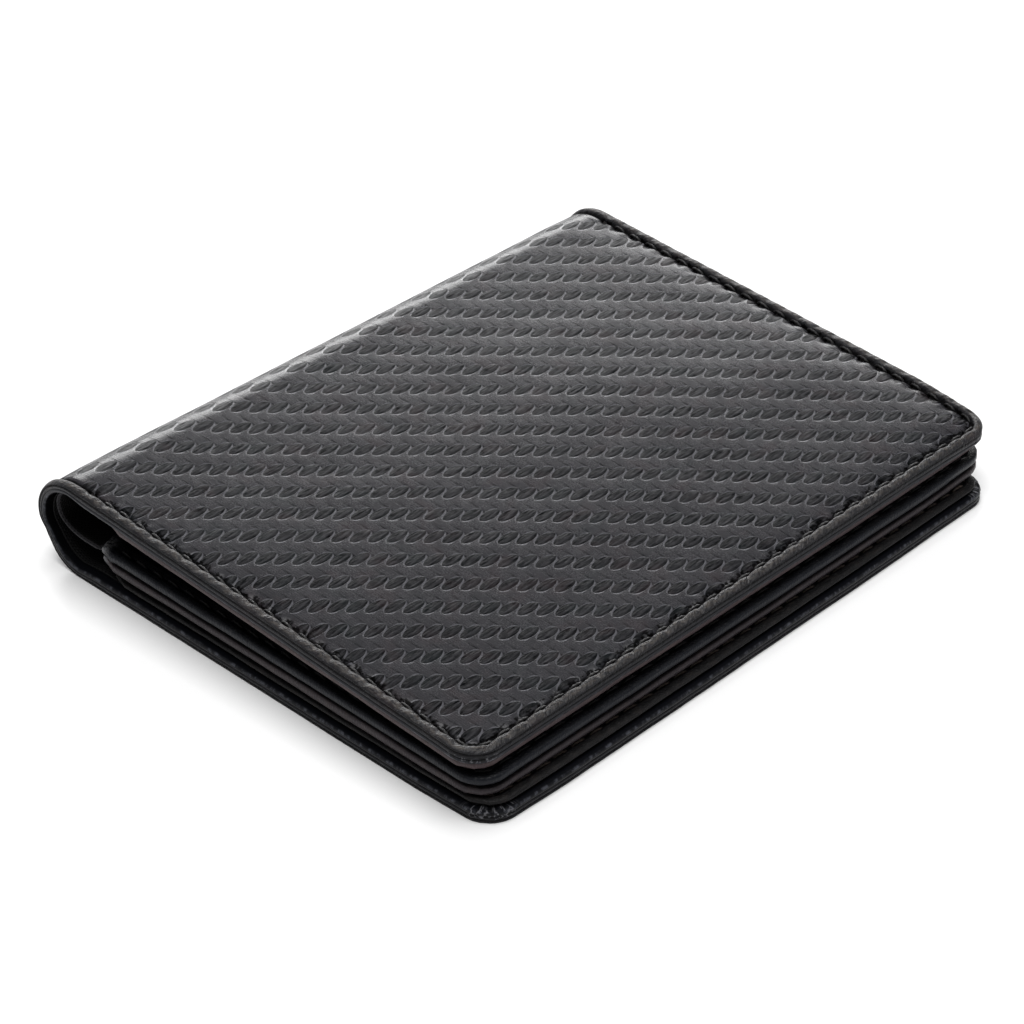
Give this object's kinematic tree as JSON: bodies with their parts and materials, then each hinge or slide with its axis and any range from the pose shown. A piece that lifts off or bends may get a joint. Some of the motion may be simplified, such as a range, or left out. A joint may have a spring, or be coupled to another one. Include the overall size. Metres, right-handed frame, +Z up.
{
  "type": "bifold wallet",
  "caption": "Portrait bifold leather wallet with a twill-embossed cover, stitched turned edges, card tiers and an inner flip leaf, lying closed.",
  "frame": {"origin": "middle of the base, on the table under the closed wallet", "axes": "+X from the spine to the fore-edge, +Y along the spine to the top edge, +Z up through the closed covers"},
  "size_m": [0.0996, 0.119, 0.017],
  "materials": {
    "embossed_leather": "black leather embossed with a twill weave, satin",
    "smooth_leather": "smooth black leather, satin",
    "lining": "black woven lining",
    "board": "fibre stiffener, hidden",
    "thread": "black bonded thread",
    "window_film": "clear vinyl film"
  },
  "bodies": {
    "back": {"back_shell": "embossed_leather", "back_stiffener": "board", "back_lining": "lining", "back_pocket_panel": "smooth_leather", "back_stitching": "thread"},
    "spine_1": {"spine_shell_1": "embossed_leather", "spine_lining_1": "lining"},
    "spine_2": {"spine_shell_2": "embossed_leather", "spine_lining_2": "lining"},
    "spine_3": {"spine_shell_3": "embossed_leather", "spine_lining_3": "lining"},
    "front": {"front_shell": "embossed_leather", "front_stiffener": "board", "front_lining": "lining", "front_pocket_panel": "smooth_leather", "front_card_tier_1": "smooth_leather", "front_card_tier_2": "smooth_leather", "front_card_tier_3": "smooth_leather", "front_stitching": "thread", "leaf_hinge_front_half": "lining"},
    "leaf": {"leaf_upper_panel": "smooth_leather", "leaf_window_film": "window_film", "leaf_core": "board", "leaf_lower_panel": "smooth_leather", "leaf_card_tier_1": "smooth_leather", "leaf_card_tier_2": "smooth_leather", "leaf_stitching": "thread", "leaf_hinge_leaf_half": "lining"}
  },
  "joints": [
    {"name": "spine_fold_1", "type": "hinge", "parent": "back", "child": "spine_1", "pos_m": [-0.04453, 0, 0.00093], "axis": [0, -1, 0], "range_deg": [0, 45.88]},
    {"name": "spine_fold_2", "type": "hinge", "parent": "spine_1", "child": "spine_2", "pos_m": [-0.04896, 0, 0.0055], "axis": [0, -1, 0], "range_deg": [0, 45.88]},
    {"name": "spine_fold_3", "type": "hinge", "parent": "spine_2", "child": "spine_3", "pos_m": [-0.04877, 0, 0.01186], "axis": [0, -1, 0], "range_deg": [0, 45.88]},
    {"name": "spine_fold_4", "type": "hinge", "parent": "spine_3", "child": "front", "pos_m": [-0.04407, 0, 0.01615], "axis": [0, -1, 0], "range_deg": [0, 45.88]},
    {"name": "leaf_turn", "type": "hinge", "parent": "front", "child": "leaf", "pos_m": [-0.04735, 0, 0.0103], "axis": [0, 1, 0], "range_deg": [0, 91.75]}
  ],
  "couplings": [
    {"joint": "spine_fold_2", "follows": "spine_fold_1", "ratio": 1},
    {"joint": "spine_fold_3", "follows": "spine_fold_1", "ratio": 1},
    {"joint": "spine_fold_4", "follows": "spine_fold_1", "ratio": 1},
    {"joint": "leaf_turn", "follows": "spine_fold_1", "ratio": 2}
  ]
}
